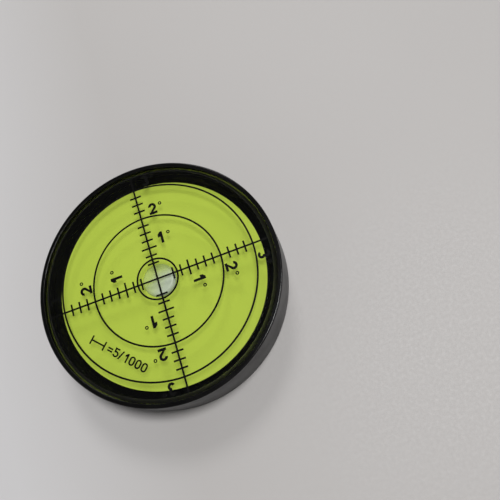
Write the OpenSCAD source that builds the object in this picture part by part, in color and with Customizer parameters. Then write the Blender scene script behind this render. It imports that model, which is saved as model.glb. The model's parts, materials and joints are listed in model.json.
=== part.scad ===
// Circular bubble level: a black cup that holds a sealed clear vial with a printed dial.
// Millimetres. The base stands on Z = 0, the dial's axis is Z and its numerals read upright along +Y.

/* [Housing] */
// Outer diameter of the housing
outer_d = 60; // [59:0.5:72]
// Height from the foot to the top of the rim
overall_h = 12; // [11:0.1:16]
// Thickness of the side wall, seen from above as the black rim
wall_t = 1.1; // [0.9:0.1:1.5]
// Thickness of the floor that carries the vial
floor_t = 2.5; // [2:0.1:3.4]
// Width of the ring-shaped foot
foot_w = 5; // [3:0.1:9]
// Chamfer on the outer edge of the rim
edge_chamfer = 0.3; // [0.2:0.05:0.6]
// Chamfer on the outer edge of the foot
foot_chamfer = 0.6; // [0.3:0.05:0.9]
// Chamfer on the inner edge of the rim
lip_chamfer = 0.15; // [0.1:0.05:0.3]
// How far the rim stands above the vial
rim_lip = 0.5; // [0.3:0.1:0.8]

/* [Vial] */
// Radial clearance between vial and housing
vial_fit = 0.1; // [0.05:0.01:0.25]
// Thickness of the vial's window at its centre
window_t = 1.4; // [1:0.1:1.8]
// Thickness of the vial's clear side wall
skirt_t = 2.8; // [2.2:0.1:3]
// Bevel around the top of the vial
bevel = 0.9; // [0.5:0.1:1.1]
// Depth of the chamber at its centre
chamber_depth = 3.1; // [3:0.1:3.6]
// Thickness of the disc that closes the vial
base_t = 2; // [1.8:0.1:2.6]
// Radial clearance of the closing disc in the vial
base_fit = 0.05; // [0.02:0.01:0.15]
// Thickness of the adhesive pad under the vial
pad_t = 0.5; // [0.3:0.05:0.8]
// How far the pad stays inside the edge of the closing disc
pad_inset = 0.9; // [0.4:0.1:3]

/* [Seal and filler plug] */
// Radial width of the seal ring
seal_w = 0.9; // [0.6:0.1:1.4]
// Height of the seal ring
seal_h = 0.9; // [0.6:0.1:1.1]
// Diameter of the filler plug's shank
plug_d = 4; // [2.5:0.1:6]
// Diameter of the filler plug's head
plug_head_d = 6.4; // [4.5:0.1:9]
// Thickness of the filler plug's head
plug_head_t = 0.8; // [0.5:0.1:1.1]
// Radial clearance around the filler plug
plug_fit = 0.03; // [0.01:0.01:0.1]

/* [Bubble] */
// Diameter of the bubble
bubble_d = 8.3; // [5:0.1:9]
// Height of the bubble
bubble_t = 2; // [1:0.1:2.1]
// Film of fluid left between bubble and window, and around every face of the fluid
film = 0.1; // [0.05:0.01:0.15]

/* [Dial print] */
// Thickness of the ink
ink_t = 0.05; // [0.03:0.01:0.1]
// Margin between the print and the vial's bevel
print_edge = 0.02; // [0.01:0.01:0.2]
// Width of the dial's lines
line_w = 0.44; // [0.3:0.02:0.5]
// Divisions in one degree
divisions = 4; // [4:1:4]
// Gap between the ring around the bubble and the tick inside it
ring_gap = 0.57; // [0.35:0.01:0.8]
// Length of a tick
tick_l = 2.9; // [2:0.1:3.4]
// Length of the tick at one degree
long_tick_l = 3.9; // [3:0.1:4.4]
// Height of the numerals
numeral_h = 3; // [2.2:0.1:3.2]
// Stroke width of the numerals
numeral_stroke = 0.64; // [0.4:0.02:0.68]
// Distance of the numerals from their arm of the cross
numeral_side = 3.45; // [3.3:0.05:3.6]
// Gap between a degree circle and the foot of its numeral
numeral_lift = 0.16; // [0.1:0.02:0.3]
// Outer diameter of the degree marks
mark_d = 0.9; // [0.7:0.05:1.1]
// Line width of the degree marks
mark_line = 0.26; // [0.16:0.02:0.28]
// Distance of the degree marks from their arm of the cross
mark_side = 5.55; // [5.4:0.01:5.8]
// Margin between the outermost degree marks and the edge of the print
mark_margin = 0.21; // [0.05:0.01:0.6]
// Height of the characters in the division legend
legend_h = 2.2; // [1.6:0.1:2.4]
// Stroke width of the division legend
legend_stroke = 0.38; // [0.26:0.01:0.4]
// Gap between the two degree circle and the division legend
legend_gap = 2.1; // [1.7:0.05:2.6]

/* [Hidden] */
$fn = 120;

// Degrees on each arm of the dial, and the step at which its ticks start
degrees = 3;
first_tick = 2;

outer_r = outer_d / 2;
pocket_r = outer_r - wall_t;
vial_r = pocket_r - vial_fit;
chamber_r = vial_r - skirt_t;
base_r = chamber_r - base_fit;
face_r = vial_r - bevel;
print_r = face_r - print_edge;
foot_r = outer_r - foot_w;

// Heights, from the rim down
vial_top = overall_h - rim_lip;
window_z = vial_top - window_t;
chamber_floor = window_z - chamber_depth;
vial_bottom = chamber_floor - base_t;
pad_bottom = vial_bottom - pad_t;
relief_z = pad_bottom - floor_t;
seal_z = (chamber_floor + vial_bottom) / 2;

// The dial fills the printed face: its outermost degree marks reach to the margin
mark_lift = numeral_lift + numeral_h - 0.8 * mark_d;
mark_reach = print_r - mark_margin - mark_d / 2;
degree_pitch = (sqrt(pow(mark_reach, 2) - pow(mark_side, 2)) - mark_lift) / degrees;
division = degree_pitch / divisions;
centre_ring_r = first_tick * division + line_w + ring_gap;
middle_ring_r = (degrees - 1) * degree_pitch;
outer_ring_r = degrees * degree_pitch;
legend_r = middle_ring_r + line_w / 2 + legend_gap + legend_h / 2;

// The window's underside is a sphere on which the bubble moves one degree pitch per degree of tilt
curve_r = degree_pitch * 180 / PI;
curve_z = window_z - curve_r;

module ring_solid(outside, inside, bottom, height) {
    translate([0, 0, bottom])
        difference() {
            cylinder(r = outside, h = height);
            translate([0, 0, -1])
                cylinder(r = inside, h = height + 2);
        }
}

module housing() {
    color([0.03, 0.03, 0.035])
        rotate_extrude()
            polygon([
                [0, relief_z],
                [foot_r, relief_z],
                [foot_r, 0],
                [outer_r - foot_chamfer, 0],
                [outer_r, foot_chamfer],
                [outer_r, overall_h - edge_chamfer],
                [outer_r - edge_chamfer, overall_h],
                [pocket_r + lip_chamfer, overall_h],
                [pocket_r, overall_h - lip_chamfer],
                [pocket_r, pad_bottom],
                [0, pad_bottom]
            ]);
}

module adhesive_pad() {
    color([0.85, 0.84, 0.8])
        translate([0, 0, pad_bottom])
            cylinder(r = base_r - pad_inset, h = pad_t);
}

// White disc that closes the vial from below, with a seal groove in its rim and a stepped filler hole
module base_disc() {
    bore_r = plug_d / 2 + plug_fit;
    head_r = plug_head_d / 2 + plug_fit;
    color([0.9, 0.93, 0.7])
        rotate_extrude()
            polygon([
                [head_r, vial_bottom],
                [base_r, vial_bottom],
                [base_r, seal_z - seal_h / 2],
                [chamber_r - seal_w, seal_z - seal_h / 2],
                [chamber_r - seal_w, seal_z + seal_h / 2],
                [base_r, seal_z + seal_h / 2],
                [base_r, chamber_floor],
                [bore_r, chamber_floor],
                [bore_r, vial_bottom + plug_head_t],
                [head_r, vial_bottom + plug_head_t]
            ]);
}

module base_seal() {
    color([0.1, 0.1, 0.1])
        ring_solid(chamber_r, chamber_r - seal_w, seal_z - seal_h / 2, seal_h);
}

module filler_plug() {
    color([0.9, 0.93, 0.7])
        rotate_extrude()
            polygon([
                [0, vial_bottom],
                [plug_head_d / 2, vial_bottom],
                [plug_head_d / 2, vial_bottom + plug_head_t],
                [plug_d / 2, vial_bottom + plug_head_t],
                [plug_d / 2, chamber_floor],
                [0, chamber_floor]
            ]);
}

// Inside of the vial in half section: straight wall, spherical top, kept clear of its faces by gap
module chamber_profile(bottom, gap) {
    intersection() {
        translate([0, bottom])
            square([chamber_r - gap, overall_h]);
        translate([0, curve_z])
            circle(r = curve_r - gap, $fn = 256);
    }
}

// Clear cup, open at the bottom, with a flat bevelled top and a hollow-ground underside
module vial_cap() {
    color([0.85, 0.95, 0.9, 0.35])
        rotate_extrude()
            difference() {
                polygon([
                    [0, vial_bottom],
                    [vial_r, vial_bottom],
                    [vial_r, vial_top - bevel],
                    [face_r, vial_top],
                    [0, vial_top]
                ]);
                chamber_profile(vial_bottom - 1, 0);
            }
}

// Half section of a flat disc with a fully rounded rim, enlarged by grow on every side
module bubble_profile(grow) {
    half = bubble_t / 2;
    reach = bubble_d / 2 - half;
    translate([0, window_z - film - half]) {
        translate([reach, 0])
            circle(r = half + grow);
        translate([0, -half - grow])
            square([reach, bubble_t + 2 * grow]);
    }
}

// Fluid around the bubble, open where the bubble lies against the window
module fluid() {
    color([0.75, 0.9, 0.2, 0.5])
        difference() {
            rotate_extrude()
                chamber_profile(chamber_floor + film, film);
            rotate_extrude()
                bubble_profile(film);
        }
}

module bubble() {
    color([0.9, 0.95, 0.95, 0.4])
        rotate_extrude()
            bubble_profile(0);
}

// Printed shapes, drawn flat and then given the ink's thickness

module ink() {
    color([0.04, 0.04, 0.04])
        translate([0, 0, vial_top])
            linear_extrude(height = ink_t)
                intersection() {
                    children();
                    circle(r = print_r);
                }
}

module cross_shape() {
    square([2 * outer_r, line_w], center = true);
    square([line_w, 2 * outer_r], center = true);
}

// A line ring, parted where the cross runs through it
module ring_shape(radius) {
    difference() {
        circle(r = radius + line_w / 2);
        circle(r = radius - line_w / 2);
        cross_shape();
    }
}

module tick_shape() {
    difference() {
        for (arm = [0:3], step = [first_tick:degrees * divisions - 1]) {
            if (step != (degrees - 1) * divisions)
                rotate(90 * arm)
                    translate([0, step * division])
                        square([step == divisions ? long_tick_l : tick_l, line_w], center = true);
        }
        cross_shape();
    }
}

// Points along an arc about (0, y), from angle a to angle b
function arc_points(radius, y, a, b, steps = 40) =
    [for (i = [0:steps]) [0, y] + radius * [cos(a + (b - a) * i / steps), sin(a + (b - a) * i / steps)]];

// Part of a ring from angle a to angle b
module arc_band(radius, stroke, a, b) {
    intersection() {
        difference() {
            circle(r = radius);
            circle(r = radius - stroke);
        }
        polygon(concat([[0, 0]], arc_points(2 * radius, 0, a, b, 8)));
    }
}

module glyph_one(h, s) {
    bar = 0.1 * h;
    translate([bar - s / 2, 0])
        square([s, h]);
    polygon([
        [bar, h],
        [bar - s / 2, h],
        [bar - 0.3 * h, 0.79 * h],
        [bar - 0.3 * h, 0.79 * h - 1.1 * s],
        [bar, h - 1.9 * s]
    ]);
}

module glyph_two(h, s) {
    w = 0.68 * h;
    r = w / 2;
    turn = -38;
    translate([0, h - r])
        arc_band(r, s, turn, 172);
    translate([-r, 0])
        square([w, s]);
    polygon([
        [r * cos(turn), h - r + r * sin(turn)],
        [(r - s) * cos(turn), h - r + (r - s) * sin(turn)],
        [-r, s / 2],
        [-r, s],
        [-r + 1.5 * s, s]
    ]);
}

module glyph_three(h, s) {
    low = 0.51 * (h + s) / 2;
    high = (h + s) / 2 - low;
    translate([0, low])
        arc_band(low, s, -160, 90);
    translate([0, h - high])
        arc_band(high, s, -90, 155);
}

// One outline: the flag, then the outside and the inside of the bowl, back to the foot of the stem
module glyph_five(h, s) {
    r = 0.34 * h;
    left = -0.78 * r;
    stem_turn = acos((left + s) / r);
    foot_turn = 140;
    tail_turn = -160;
    polygon(concat(
        [[left, h], [left + 1.6 * r, h], [left + 1.6 * r, h - s], [left + s, h - s]],
        arc_points(r, r, stem_turn, tail_turn),
        arc_points(r - s, r, tail_turn, foot_turn),
        [[r * cos(foot_turn), r + r * sin(foot_turn)]]
    ));
}

module glyph_zero(h, s) {
    r = 0.33 * h;
    difference() {
        stadium(r, h);
        translate([0, s])
            stadium(r - s, h - 2 * s);
    }
}

module stadium(r, h) {
    translate([-r, r])
        square([2 * r, h - 2 * r]);
    translate([0, r])
        circle(r = r);
    translate([0, h - r])
        circle(r = r);
}

module glyph_slash(h, s) {
    lean = 0.16 * h;
    polygon([
        [-lean - s / 2, 0],
        [-lean + s / 2, 0],
        [lean + s / 2, h],
        [lean - s / 2, h]
    ]);
}

module glyph_equals(h, s) {
    for (y = [0.34 * h, 0.62 * h])
        translate([0, y])
            square([0.6 * h, s], center = true);
}

// Two ticks joined by a bar: the sign for one division of the dial
module glyph_division(h, s) {
    span = 1.65 * h;
    for (x = [-span / 2, span / 2])
        translate([x - s / 2, 0])
            square([s, h]);
    translate([-span / 2, (h - s) / 2])
        square([span, s]);
}

module numeral_shape(n) {
    if (n == 1)
        glyph_one(numeral_h, numeral_stroke);
    if (n == 2)
        glyph_two(numeral_h, numeral_stroke);
    if (n == 3)
        glyph_three(numeral_h, numeral_stroke);
}

module degree_numeral_shape() {
    for (arm = [0:3], n = [1:degrees])
        rotate(-90 * arm)
            translate([numeral_side, n * degree_pitch + numeral_lift])
                numeral_shape(n);
}

module degree_mark_shape() {
    for (arm = [0:3], n = [1:degrees])
        rotate(-90 * arm)
            translate([mark_side, n * degree_pitch + mark_lift])
                difference() {
                    circle(d = mark_d);
                    circle(d = mark_d - 2 * mark_line);
                }
}

// One division equals five thousandths, on a straight line across the lower left of the dial
module legend_shape() {
    h = legend_h;
    s = legend_stroke;
    advance = 0.77 * h;
    rotate(135)
        translate([0, legend_r])
            rotate(180)
                translate([0, -h / 2]) {
                    translate([-3.3 * advance, 0])
                        glyph_division(h, s);
                    translate([-1.2 * advance, 0])
                        glyph_equals(h, s);
                    translate([-0.2 * advance, 0])
                        glyph_five(h, s);
                    translate([0.62 * advance, 0])
                        glyph_slash(h, s);
                    translate([1.5 * advance, 0])
                        glyph_one(h, s);
                    for (i = [0:2])
                        translate([(2.45 + i) * advance, 0])
                            glyph_zero(h, s);
                }
}

module centre_ring() {
    ink()
        ring_shape(centre_ring_r);
}

module middle_ring() {
    ink()
        ring_shape(middle_ring_r);
}

module outer_ring() {
    ink()
        ring_shape(outer_ring_r);
}

module crosshair_lines() {
    ink()
        cross_shape();
}

module division_ticks() {
    ink()
        tick_shape();
}

module degree_numerals() {
    ink()
        degree_numeral_shape();
}

module degree_marks() {
    ink()
        degree_mark_shape();
}

module division_legend() {
    ink()
        legend_shape();
}

housing();
adhesive_pad();
base_disc();
base_seal();
filler_plug();
vial_cap();
fluid();
bubble();
centre_ring();
middle_ring();
outer_ring();
crosshair_lines();
division_ticks();
degree_numerals();
degree_marks();
division_legend();
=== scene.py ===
"""Looks of the circular bubble level: a glossy black cup, a clear vial and a printed lime dial."""

import json
import math

import bpy
from mathutils import Matrix, Vector


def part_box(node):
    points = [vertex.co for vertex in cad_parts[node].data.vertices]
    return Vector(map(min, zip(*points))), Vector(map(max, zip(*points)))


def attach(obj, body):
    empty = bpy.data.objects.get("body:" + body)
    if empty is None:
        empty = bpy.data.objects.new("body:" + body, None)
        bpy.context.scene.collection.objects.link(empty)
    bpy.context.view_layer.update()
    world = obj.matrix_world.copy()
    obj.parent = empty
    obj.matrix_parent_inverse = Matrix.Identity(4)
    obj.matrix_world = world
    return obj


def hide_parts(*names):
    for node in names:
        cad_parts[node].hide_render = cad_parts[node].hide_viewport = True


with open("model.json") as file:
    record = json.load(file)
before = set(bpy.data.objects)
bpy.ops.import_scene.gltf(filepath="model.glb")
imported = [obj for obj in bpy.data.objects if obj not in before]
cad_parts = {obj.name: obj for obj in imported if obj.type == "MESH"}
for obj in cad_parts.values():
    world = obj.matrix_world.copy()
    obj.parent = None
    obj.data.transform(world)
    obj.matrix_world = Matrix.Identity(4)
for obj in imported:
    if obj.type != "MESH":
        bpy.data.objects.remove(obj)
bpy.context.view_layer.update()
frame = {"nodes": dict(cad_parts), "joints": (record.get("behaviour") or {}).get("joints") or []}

MM = 0.001


def radius_of(node):
    """Outer radius of a CAD node that is round about Z."""
    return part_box(node)[1].x


def bottom_of(node):
    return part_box(node)[0].z


def top_of(node):
    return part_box(node)[1].z


# Sizes read from the frame; bubble_run turns about the centre of the window's curvature
OUTER_R = radius_of("housing")
RIM_Z = top_of("housing")
VIAL_R = radius_of("vial_cap")
VIAL_TOP = top_of("vial_cap")
VIAL_BOTTOM = bottom_of("vial_cap")
CHAMBER_FLOOR = top_of("base_disc")
PAD_BOTTOM = bottom_of("adhesive_pad")
BUBBLE_R = radius_of("bubble")
BUBBLE_TOP = top_of("bubble")
BUBBLE_BOTTOM = bottom_of("bubble")
CURVE_Z = next(joint["pos_m"][2] for joint in frame["joints"] if joint["name"] == "bubble_run")

# Sizes that the boxes of the nodes don't give, as in the part's source
VIAL_FIT = 0.1 * MM  # gap between the vial and the cup
SKIRT_T = 2.8 * MM  # side wall of the vial
VIAL_BEVEL = 0.9 * MM  # width and height of the vial's bevel
FLOOR_T = 2.5 * MM  # floor of the cup
FOOT_W = 5 * MM  # width of the ring foot
FILM = 0.1 * MM  # gap around the fluid and above the bubble

# Sizes worked out from those
POCKET_R = VIAL_R + VIAL_FIT
CHAMBER_R = VIAL_R - SKIRT_T
BEVEL_R = VIAL_R - VIAL_BEVEL
BEVEL_Z = VIAL_TOP - VIAL_BEVEL
FOOT_R = OUTER_R - FOOT_W
RELIEF_Z = PAD_BOTTOM - FLOOR_T
CURVE_R = BUBBLE_TOP + FILM - CURVE_Z

# Rounding of the moulded edges
EDGE_ROUND = 0.3 * MM
FOOT_ROUND = 0.6 * MM
LIP_ROUND = 0.15 * MM
VIAL_ROUND = 0.08 * MM

# Hair's breadth that keeps faces from lying in one plane, and within which places count as equal
HAIR = 0.004 * MM

# Steps of a turned mesh: around the axis, along a rounding, along the bubble's rim and along the window
LATHE_STEPS = 256
ROUND_STEPS = 6
RIM_STEPS = 24
CURVE_STEPS = 24

# Reach of the guard points beside a rounding, as a multiple of the rounding's own reach
GUARD = 1.15

# Edges that turn by more than this stay sharp in shading
SHARP_ANGLE = math.radians(30)


# The photograph's view, in its frame of 500 by 500 pixels and with angles in degrees
PHOTO_SIZE = 500
PHOTO_FOCUS = 593.3
FOOT_PIXEL = (172.62, 289.84)
VIEW_AZIMUTH = 35.0
VIEW_ELEVATION = 67.299
VIEW_ROLL = -53.108
VIEW_DISTANCE = 153.45 * MM
SENSOR_MM = 36.0
CLIP_START = 5 * MM


def make_camera():
    """Camera at the photograph's viewing angle, with the foot's centre on its pixel."""
    azimuth = math.radians(VIEW_AZIMUTH)
    elevation = math.radians(VIEW_ELEVATION)
    roll = math.radians(VIEW_ROLL)
    back = Vector((
        math.sin(azimuth) * math.cos(elevation),
        -math.cos(azimuth) * math.cos(elevation),
        math.sin(elevation),
    ))
    level_right = Vector((math.cos(azimuth), math.sin(azimuth), 0))
    level_up = back.cross(level_right)
    right = level_right * math.cos(roll) + level_up * math.sin(roll)
    up = level_up * math.cos(roll) - level_right * math.sin(roll)
    facing = Matrix((right, up, back)).transposed()
    middle = PHOTO_SIZE / 2
    foot_ray = Vector((
        (FOOT_PIXEL[0] - middle) / PHOTO_FOCUS,
        (middle - FOOT_PIXEL[1]) / PHOTO_FOCUS,
        -1,
    ))
    swing = foot_ray.rotation_difference(Vector((0, 0, -1))).to_matrix()
    data = bpy.data.cameras.new("photo_camera")
    data.sensor_width = SENSOR_MM
    data.lens = PHOTO_FOCUS / PHOTO_SIZE * SENSOR_MM
    data.clip_start = CLIP_START
    camera = bpy.data.objects.new("photo_camera", data)
    bpy.context.scene.collection.objects.link(camera)
    camera.matrix_world = Matrix.Translation(back * VIEW_DISTANCE) @ (facing @ swing).to_4x4()
    bpy.context.scene.camera = camera


# Material helpers

WHITE = (1, 1, 1, 1)


def start_material(name):
    """New material, and its empty node tree."""
    material = bpy.data.materials.new(name)
    material.use_nodes = True
    material.node_tree.nodes.clear()
    return material, material.node_tree


def put(tree, kind, inputs=None, **settings):
    """Adds a node. Each input is a value, or an output socket to link from."""
    node = tree.nodes.new("ShaderNode" + kind)
    for name, value in settings.items():
        setattr(node, name, value)
    for name, value in (inputs or {}).items():
        if isinstance(value, bpy.types.NodeSocket):
            tree.links.new(value, node.inputs[name])
        else:
            node.inputs[name].default_value = value
    return node


def object_place(tree):
    return put(tree, "TexCoord").outputs["Object"]


def along(tree, place, direction):
    """How far a place lies in a direction."""
    inputs = {0: place, 1: direction}
    return put(tree, "VectorMath", inputs, operation="DOT_PRODUCT").outputs["Value"]


def off_axis(tree, place):
    """How far a place lies from the Z axis."""
    flat = put(tree, "VectorMath", {0: place, 1: (1, 1, 0)}, operation="MULTIPLY").outputs["Vector"]
    return put(tree, "VectorMath", {0: flat}, operation="LENGTH").outputs["Value"]


def noise(tree, place, feature, detail):
    """Noise whose features are about this many metres across."""
    inputs = {"Vector": place, "Scale": 1 / feature, "Detail": detail}
    return put(tree, "TexNoise", inputs).outputs["Fac"]


def spread(tree, value, low, high, start=0.3, end=0.7):
    """Maps start to end, which by default is the usual range of a noise, onto low to high."""
    inputs = {"Value": value, "From Min": start, "From Max": end, "To Min": low, "To Max": high}
    return put(tree, "MapRange", inputs).outputs["Result"]


def mix_colours(tree, share, first, second, blend="MIX"):
    """Mixes two colours; a mix node's sockets 6 and 7 take them, and its output 2 gives the result."""
    inputs = {0: share, 6: first, 7: second}
    return put(tree, "Mix", inputs, data_type="RGBA", blend_type=blend).outputs[2]


def mix_shaders(tree, share, first, second):
    return put(tree, "MixShader", {0: share, 1: first, 2: second}).outputs[0]


def bump(tree, height, strength, distance):
    inputs = {"Height": height, "Strength": strength, "Distance": distance}
    return put(tree, "Bump", inputs).outputs["Normal"]


def transparent(tree, colour):
    return put(tree, "BsdfTransparent", {"Color": colour}).outputs[0]


def pass_lamp_light(tree, shader):
    """Lets lamp rays and bounced light go straight through a clear surface to what lies behind it."""
    path = put(tree, "LightPath").outputs
    clear = transparent(tree, WHITE)
    shaded = mix_shaders(tree, path["Is Shadow Ray"], shader, clear)
    return mix_shaders(tree, path["Is Diffuse Ray"], shaded, clear)


def finish_material(material, shader):
    put(material.node_tree, "OutputMaterial", {"Surface": shader})
    return material


# Materials

# The two colours that each finish varies between
BLACK_TONES = ((0.0022, 0.0022, 0.0023, 1), (0.0045, 0.0043, 0.0043, 1))
# The pocket's tones are painted shade, far darker than the black plastic's own
POCKET_SHADE_TONES = ((0.0004, 0.0004, 0.0004, 1), (0.0012, 0.0012, 0.0011, 1))
LIME_TONES = ((0.46, 0.585, 0.066, 1), (0.5, 0.62, 0.08, 1))
INK_TONES = ((0.001, 0.001, 0.001, 1), (0.003, 0.003, 0.0025, 1))
RUBBER_TONES = ((0.012, 0.012, 0.012, 1), (0.022, 0.021, 0.02, 1))
FOAM_TONES = ((0.74, 0.72, 0.66, 1), (0.62, 0.6, 0.54, 1))

# What the clear pieces let through, and how strongly the acrylic bends light
ACRYLIC_TINT = (0.985, 0.995, 0.985, 1)
BEVEL_TINT = (0.28, 0.28, 0.28, 1)
SPIRIT_TINT = (0.992, 1, 0.975, 1)
ACRYLIC_IOR = 1.47

# Colour of the turned bevel's frost, and the share of the bevel that it covers
FROST_COLOUR = (0.8, 0.8, 0.76, 1)
FROST_SHARE = 0.17


def black_plastic(name, smoothest, roughest):
    """Moulded black plastic, broken up by handling marks and a fine mould grain."""
    material, tree = start_material(name)
    place = object_place(tree)
    marks = noise(tree, place, feature=6 * MM, detail=4)
    grain = noise(tree, place, feature=0.25 * MM, detail=2)
    shader = put(tree, "BsdfPrincipled", {
        "Base Color": mix_colours(tree, marks, *BLACK_TONES),
        "Roughness": spread(tree, marks, smoothest, roughest),
        "Specular IOR Level": 0.25,
        "Normal": bump(tree, grain, strength=0.06, distance=0.02 * MM),
    })
    return finish_material(material, shader.outputs[0])


def shaded_pocket():
    """Inside of the cup around the vial: the same plastic, matt, painted darker and without gloss as
    painted shade in the hollow.
    """
    material, tree = start_material("shaded_pocket")
    grain = noise(tree, object_place(tree), feature=0.4 * MM, detail=2)
    shader = put(tree, "BsdfPrincipled", {
        "Base Color": mix_colours(tree, grain, *POCKET_SHADE_TONES),
        "Roughness": spread(tree, grain, low=0.5, high=0.65),
        "Specular IOR Level": 0,
    })
    return finish_material(material, shader.outputs[0])


def clear_acrylic():
    """Polished outer faces of the vial."""
    material, tree = start_material("clear_acrylic")
    glass = put(tree, "BsdfGlass", {"Color": ACRYLIC_TINT, "Roughness": 0, "IOR": ACRYLIC_IOR})
    return finish_material(material, pass_lamp_light(tree, glass.outputs[0]))


def ground_bevel():
    """The vial's turned bevel, which blurs what is seen through it and is a little frosted."""
    material, tree = start_material("ground_bevel")
    ridges = noise(tree, object_place(tree), feature=0.3 * MM, detail=2)
    glass = put(tree, "BsdfGlass", {
        "Color": BEVEL_TINT,
        "Roughness": spread(tree, ridges, low=0.42, high=0.52),
        "IOR": ACRYLIC_IOR,
    })
    frost = put(tree, "BsdfDiffuse", {"Color": FROST_COLOUR})
    frosted = mix_shaders(tree, FROST_SHARE, glass.outputs[0], frost.outputs[0])
    return finish_material(material, pass_lamp_light(tree, frosted))


def wetted_face():
    """A face that vanishes: inside the vial, where the fluid bends light alike, or under the bubble."""
    material, tree = start_material("wetted_face")
    return finish_material(material, transparent(tree, WHITE))


def lime_plastic():
    """The disc behind the fluid: matt plastic that shows the dye's colour."""
    material, tree = start_material("lime_plastic")
    place = object_place(tree)
    cloud = noise(tree, place, feature=14 * MM, detail=3)
    speck = noise(tree, place, feature=0.3 * MM, detail=2)
    shader = put(tree, "BsdfPrincipled", {
        "Base Color": mix_colours(tree, cloud, *LIME_TONES),
        "Roughness": spread(tree, speck, low=0.5, high=0.7),
        "Specular IOR Level": 0.05,
        "Normal": bump(tree, speck, strength=0.05, distance=0.02 * MM),
    })
    return finish_material(material, shader.outputs[0])


def dyed_spirit():
    """The fluid: a faint tint, since the disc behind it carries the colour."""
    material, tree = start_material("dyed_spirit")
    return finish_material(material, transparent(tree, SPIRIT_TINT))


def printed_ink():
    """Screen-printed black ink, slightly raised and a little uneven."""
    material, tree = start_material("printed_ink")
    patch = noise(tree, object_place(tree), feature=0.4 * MM, detail=3)
    shader = put(tree, "BsdfPrincipled", {
        "Base Color": mix_colours(tree, patch, *INK_TONES),
        "Roughness": spread(tree, patch, low=0.4, high=0.55),
        "Specular IOR Level": 0.07,
        "Normal": bump(tree, patch, strength=0.1, distance=0.01 * MM),
    })
    return finish_material(material, shader.outputs[0])


# Directions across the dial towards the bubble's painted reflection, which turns it pale, and towards
# its painted shade, which turns its edge olive
REFLECTING_SIDE = (0.72, -0.69, 0)
SHADED_SIDE = (0.35, 0.94, 0)

# Painted reflection of the room on the bubble's clear and on its pale side, and how much of it the
# olive painted shade keeps
CLEAR_SIDE_REFLECTION = 0.28
PALE_SIDE_REFLECTION = 0.97
OLIVE_KEEPS = 0.35

# Stretches of the bubble, measured from its middle, over which these and its painted dark rim line come
# in
REFLECTION_STRETCH = (-0.55 * BUBBLE_R, 0.5 * BUBBLE_R)
KEEP_STRETCH = (0.35 * BUBBLE_R, 0.75 * BUBBLE_R)
OLIVE_STRETCH = (0.4 * BUBBLE_R, 0.75 * BUBBLE_R)
RIM_STRETCH = (0.9 * BUBBLE_R, 0.97 * BUBBLE_R)

# Colour of the painted sheen, and what the olive painted shade and the painted dark rim line let
# through
PAINTED_SHEEN_COLOUR = (0.49, 0.55, 0.44, 1)
OLIVE_SHADE_TINT = (0.72, 0.74, 0.95, 1)
RIM_SHADE_TINT = (0.7, 0.72, 0.6, 1)


def bubble_sheen():
    """Upper side of the bubble: a painted reflection, pale on one side and clear on the other, with
    painted shade on its olive edge and its fine rim line.
    """
    material, tree = start_material("bubble_sheen")
    place = object_place(tree)
    to_pale = along(tree, place, REFLECTING_SIDE)
    to_olive = along(tree, place, SHADED_SIDE)
    # Painted reflection towards the pale side, painted shade on the olive edge and along the rim line
    reflection_share = spread(tree, to_pale, CLEAR_SIDE_REFLECTION, PALE_SIDE_REFLECTION, *REFLECTION_STRETCH)
    kept = spread(tree, to_olive, 1, OLIVE_KEEPS, *KEEP_STRETCH)
    olive = spread(tree, to_olive, 0, 1, *OLIVE_STRETCH)
    rim = spread(tree, off_axis(tree, place), 0, 1, *RIM_STRETCH)
    sheen = put(tree, "BsdfPrincipled", {
        "Base Color": PAINTED_SHEEN_COLOUR,
        "Roughness": 0.3,
        "Specular IOR Level": 0.2,
    })
    tint = mix_colours(tree, olive, WHITE, OLIVE_SHADE_TINT)
    clear = transparent(tree, mix_colours(tree, rim, tint, RIM_SHADE_TINT))
    share = put(tree, "Math", {0: reflection_share, 1: kept}, operation="MULTIPLY").outputs[0]
    return finish_material(material, mix_shaders(tree, share, clear, sheen.outputs[0]))


def seal_rubber():
    """Soft black rubber with a fine grain."""
    material, tree = start_material("seal_rubber")
    grain = noise(tree, object_place(tree), feature=0.2 * MM, detail=2)
    shader = put(tree, "BsdfPrincipled", {
        "Base Color": mix_colours(tree, grain, *RUBBER_TONES),
        "Roughness": spread(tree, grain, low=0.6, high=0.8),
    })
    return finish_material(material, shader.outputs[0])


def foam_pad():
    """Adhesive foam with small cells."""
    material, tree = start_material("foam_pad")
    cell_size = 0.25 * MM
    inputs = {"Vector": object_place(tree), "Scale": 1 / cell_size}
    cells = put(tree, "TexVoronoi", inputs).outputs["Distance"]
    shader = put(tree, "BsdfPrincipled", {
        "Base Color": mix_colours(tree, cells, *FOAM_TONES),
        "Roughness": spread(tree, cells, low=0.75, high=0.95, start=0, end=0.8),
        "Normal": bump(tree, cells, strength=0.4, distance=0.05 * MM),
    })
    return finish_material(material, shader.outputs[0])


# Mesh helpers

def rounded(corners):
    """Closed outline from (radius, height, rounding) corners, each rounding drawn as an arc.

    A guard point beside each end of an arc keeps the flat faces next to it flat in shading.
    """
    points = []
    count = len(corners)
    for i, (r, z, rounding) in enumerate(corners):
        corner = Vector((r, z))
        if rounding == 0:
            points.append(corner)
            continue
        before = (Vector(corners[i - 1][:2]) - corner).normalized()
        after = (Vector(corners[(i + 1) % count][:2]) - corner).normalized()
        half_angle = before.angle(after) / 2
        centre = corner + (before + after).normalized() * rounding / math.sin(half_angle)
        reach = rounding / math.tan(half_angle)
        first = corner + before * reach - centre
        last = corner + after * reach - centre
        sweep = first.angle_signed(last)
        points.append(corner + before * reach * GUARD)
        for step in range(ROUND_STEPS + 1):
            turn = Matrix.Rotation(-sweep * step / ROUND_STEPS, 2)
            points.append(centre + turn @ first)
        points.append(corner + after * reach * GUARD)
    return points


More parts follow.
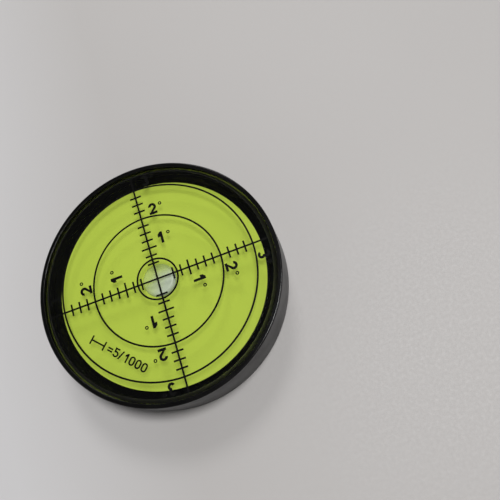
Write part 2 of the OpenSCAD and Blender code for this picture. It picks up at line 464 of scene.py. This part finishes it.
def lathe(name, outline, slot_of, materials):
    """Turns a closed outline of (radius, height) points about Z.

    slot_of gives the material slot of the strip that follows an outline point.
    """
    vertices = []
    rings = []
    for r, z in outline:
        start = len(vertices)
        if r < HAIR:
            vertices.append((0, 0, z))
            rings.append([start] * LATHE_STEPS)
            continue
        for step in range(LATHE_STEPS):
            angle = 2 * math.pi * step / LATHE_STEPS
            vertices.append((r * math.cos(angle), r * math.sin(angle), z))
        rings.append(list(range(start, start + LATHE_STEPS)))
    faces = []
    slots = []
    for i, ring in enumerate(rings):
        onward = rings[(i + 1) % len(rings)]
        for step in range(LATHE_STEPS):
            beside = (step + 1) % LATHE_STEPS
            corners = dict.fromkeys((ring[step], ring[beside], onward[beside], onward[step]))
            if len(corners) > 2:
                faces.append(tuple(corners))
                slots.append(slot_of(i))
    mesh = bpy.data.meshes.new(name)
    mesh.from_pydata(vertices, [], faces)
    for material in materials:
        mesh.materials.append(material)
    mesh.polygons.foreach_set("material_index", slots)
    mesh.polygons.foreach_set("use_smooth", [True] * len(faces))
    mesh.set_sharp_from_angle(angle=SHARP_ANGLE)
    piece = bpy.data.objects.new(name, mesh)
    bpy.context.scene.collection.objects.link(piece)
    return piece


def window_height(r):
    """Height of the window's hollow-ground underside at this radius."""
    return CURVE_Z + math.sqrt(CURVE_R ** 2 - r ** 2)


def window_curve(reach, gap):
    """Points along the window's underside from the wall to the axis, kept below it by gap."""
    radii = [reach * (1 - step / CURVE_STEPS) for step in range(CURVE_STEPS + 1)]
    return [Vector((r, window_height(r) - gap)) for r in radii]


# Pieces

# Material slots of the cup, the vial and the bubble
RIM_SLOT, POCKET_SLOT, WALL_SLOT = range(3)
CLEAR_SLOT, WETTED_SLOT, BEVEL_SLOT = range(3)
SHEEN_SLOT, UNDER_SLOT = range(2)


def cup_slot(start, end):
    """Material slot of the cup's strip between two outline points; the foot counts as rim."""
    if min(start.x, end.x) > OUTER_R - HAIR:
        return WALL_SLOT
    in_pocket = max(start.x, end.x) <= POCKET_R + HAIR
    above_floor = min(start.y, end.y) >= PAD_BOTTOM - HAIR
    below_bevel = max(start.y, end.y) <= BEVEL_Z
    return POCKET_SLOT if in_pocket and above_floor and below_bevel else RIM_SLOT


def make_housing():
    """The cup, with its rim, its floor and its ring foot."""
    outline = rounded([
        (0, RELIEF_Z, 0),
        (FOOT_R, RELIEF_Z, EDGE_ROUND),
        (FOOT_R, 0, LIP_ROUND),
        (OUTER_R, 0, FOOT_ROUND),
        (OUTER_R, RIM_Z, EDGE_ROUND),
        (POCKET_R, RIM_Z, LIP_ROUND),
        (POCKET_R, PAD_BOTTOM, LIP_ROUND),
        (0, PAD_BOTTOM, 0),
    ])

    def slot_of(i):
        return cup_slot(outline[i], outline[(i + 1) % len(outline)])

    piece = lathe("housing_cup", outline, slot_of, [
        black_plastic("gloss_rim", smoothest=0.14, roughest=0.22),
        shaded_pocket(),
        black_plastic("satin_wall", smoothest=0.32, roughest=0.42),
    ])
    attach(piece, "level")
    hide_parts("housing")


def make_vial():
    """The clear cap: window, bevel and side wall in one. Its face lies just below the print."""
    inner_r = CHAMBER_R + HAIR
    face_z = VIAL_TOP - HAIR
    outside = rounded([
        (inner_r, VIAL_BOTTOM, 0),
        (VIAL_R, VIAL_BOTTOM, VIAL_ROUND),
        (VIAL_R, BEVEL_Z, VIAL_ROUND),
        (BEVEL_R, face_z, VIAL_ROUND),
        (0, face_z, 0),
    ])
    inside = window_curve(inner_r, gap=0)[::-1]
    outline = outside + inside

    def slot_of(i):
        if i >= len(outside) - 1:
            return WETTED_SLOT
        on_bevel = outline[i].y >= BEVEL_Z and outline[i + 1].x > BEVEL_R
        return BEVEL_SLOT if on_bevel else CLEAR_SLOT

    piece = lathe("vial_clear_cup", outline, slot_of, [clear_acrylic(), wetted_face(), ground_bevel()])
    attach(piece, "level")
    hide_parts("vial_cap")
    return piece


def leave_light(piece):
    """Keeps a clear piece inside the vial from dimming the disc below it."""
    piece.visible_shadow = False
    piece.visible_diffuse = False


def make_fluid():
    """The fluid, half a film clear of the chamber on all sides."""
    gap = FILM / 2
    floor_z = CHAMBER_FLOOR + gap
    reach = CHAMBER_R - gap
    outline = [Vector((0, floor_z)), Vector((reach, floor_z))] + window_curve(reach, gap)
    piece = lathe("fluid_fill", outline, lambda i: 0, [dyed_spirit()])
    leave_light(piece)
    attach(piece, "fluid")
    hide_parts("fluid")


def make_bubble():
    """The bubble: flat above and below, with a half-round rim."""
    half = (BUBBLE_TOP - BUBBLE_BOTTOM) / 2
    middle = BUBBLE_BOTTOM + half
    core = BUBBLE_R - half
    inner = core / GUARD
    turns = [math.pi * (step / RIM_STEPS - 0.5) for step in range(RIM_STEPS + 1)]
    rim = [Vector((core + half * math.cos(turn), middle + half * math.sin(turn))) for turn in turns]
    below = [Vector((0, BUBBLE_BOTTOM)), Vector((inner, BUBBLE_BOTTOM))]
    above = [Vector((inner, BUBBLE_TOP)), Vector((0, BUBBLE_TOP))]
    outline = below + rim + above
    equator = len(outline) // 2

    def slot_of(i):
        return SHEEN_SLOT if equator <= i < len(outline) - 1 else UNDER_SLOT

    piece = lathe("bubble_pocket", outline, slot_of, [bubble_sheen(), wetted_face()])
    leave_light(piece)
    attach(piece, "bubble")
    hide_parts("bubble")


PRINT_NODES = (
    "centre_ring", "middle_ring", "outer_ring", "crosshair_lines", "division_ticks",
    "degree_numerals", "degree_marks", "division_legend",
)


def dress_nodes():
    """Gives the CAD nodes that stay their finishes."""
    lime = lime_plastic()
    finishes = {
        "base_disc": lime,
        "filler_plug": lime,
        "base_seal": seal_rubber(),
        "adhesive_pad": foam_pad(),
    }
    finishes.update(dict.fromkeys(PRINT_NODES, printed_ink()))
    for name, material in finishes.items():
        materials = frame["nodes"][name].data.materials
        materials.clear()
        materials.append(material)


# Floor and light

# Length of the table top's sides
FLOOR_SIZE = 6.0

# The table's colours as a painted light falloff, brighter on the -X side and darker on the other, and
# the stretch of X over which they blend
PAINTED_LIT_TABLE = (0.62, 0.61, 0.614, 1)
PAINTED_DIM_TABLE = (0.505, 0.486, 0.475, 1)
TABLE_STRETCH = (-50 * MM, -5 * MM)

# How far the table darkens in patches
PATCH_SHADE = (0.96, 0.96, 0.96, 1)

# Share of the key light that the print stops; the rest stands for the window's inner reflections
PRINT_SHADE = 0.6
KEY_PLACE = (0.44, 0.12, 2.2)
KEY_SIZE = 0.6
KEY_WATTS = 32.0
LAMPS = {
    "key_lamp": {"place": KEY_PLACE, "size": KEY_SIZE, "watts": KEY_WATTS * PRINT_SHADE},
    "fill_lamp": {"place": KEY_PLACE, "size": KEY_SIZE, "watts": KEY_WATTS * (1 - PRINT_SHADE)},
    "far_lamp": {"place": (0.32, 1.66, 1.7), "size": 0.7, "watts": 14.0},
}

# Strength of the room's light near the horizon and overhead, and the heights on a unit sphere
# between which it falls
ROOM_LOW = 0.6
ROOM_HIGH = 0.04
ROOM_STRETCH = (0.1, 0.8)


def pale_table():
    """Pale matt top, a little cloudy, with painted light: brighter and cooler towards -X, darker and a
    little browner elsewhere.
    """
    material, tree = start_material("pale_table")
    place = object_place(tree)
    cloud = noise(tree, place, feature=60 * MM, detail=4)
    grain = noise(tree, place, feature=0.8 * MM, detail=3)
    across = put(tree, "SeparateXYZ", {0: place}).outputs["X"]
    # Painted light: the table darkens from the -X side across this stretch
    light_falloff = spread(tree, across, 0, 1, *TABLE_STRETCH)
    tone = mix_colours(tree, light_falloff, PAINTED_LIT_TABLE, PAINTED_DIM_TABLE)
    shade = mix_colours(tree, cloud, PATCH_SHADE, WHITE)
    shader = put(tree, "BsdfPrincipled", {
        "Base Color": mix_colours(tree, 1, tone, shade, blend="MULTIPLY"),
        "Roughness": spread(tree, grain, low=0.5, high=0.65),
        "Normal": bump(tree, grain, strength=0.05, distance=0.05 * MM),
    })
    return finish_material(material, shader.outputs[0])


def make_floor():
    half = FLOOR_SIZE / 2
    corners = [(-half, -half, 0), (half, -half, 0), (half, half, 0), (-half, half, 0)]
    mesh = bpy.data.meshes.new("table_top")
    mesh.from_pydata(corners, [], [(0, 1, 2, 3)])
    mesh.materials.append(pale_table())
    floor = bpy.data.objects.new("table_top", mesh)
    floor.location.z = -HAIR
    bpy.context.scene.collection.objects.link(floor)


def make_lamp(name, place, size, watts):
    """Round soft lamp that faces the object."""
    data = bpy.data.lights.new(name, "AREA")
    data.shape = "DISK"
    data.size = size
    data.energy = watts
    lamp = bpy.data.objects.new(name, data)
    lamp.location = place
    lamp.rotation_euler = Vector(place).to_track_quat("Z", "Y").to_euler()
    bpy.context.scene.collection.objects.link(lamp)
    return lamp


def left_out(name, pieces):
    """Collection that takes these pieces out of a lamp's light or its shadows."""
    spared = bpy.data.collections.new(name)
    for piece in pieces:
        spared.objects.link(piece)
    for entry in spared.collection_objects:
        entry.light_linking.link_state = "EXCLUDE"
    return spared


def make_lamps(window):
    """Lamps without a mirror image in the window, as behind a polarising filter.

    The print casts no shadow in the light of fill_lamp.
    """
    print_nodes = [frame["nodes"][name] for name in PRINT_NODES]
    for name, settings in LAMPS.items():
        linking = make_lamp(name, **settings).light_linking
        linking.receiver_collection = left_out(name + "_spares", [window])
        if name == "fill_lamp":
            linking.blocker_collection = left_out(name + "_passes", print_nodes)


def make_world():
    """Pale room that darkens towards the ceiling, so that the window stays free of glare."""
    world = bpy.data.worlds.new("soft_room")
    world.use_nodes = True
    tree = world.node_tree
    tree.nodes.clear()
    direction = put(tree, "TexCoord").outputs["Generated"]
    height = put(tree, "SeparateXYZ", {0: direction}).outputs["Z"]
    strength = spread(tree, height, ROOM_LOW, ROOM_HIGH, *ROOM_STRETCH)
    background = put(tree, "Background", {"Color": WHITE, "Strength": strength})
    put(tree, "OutputWorld", {"Surface": background.outputs[0]})
    bpy.context.scene.world = world


make_camera()
make_housing()
vial_window = make_vial()
make_fluid()
make_bubble()
dress_nodes()
make_floor()
make_lamps(vial_window)
make_world()
bpy.context.scene.view_settings.view_transform = "Standard"
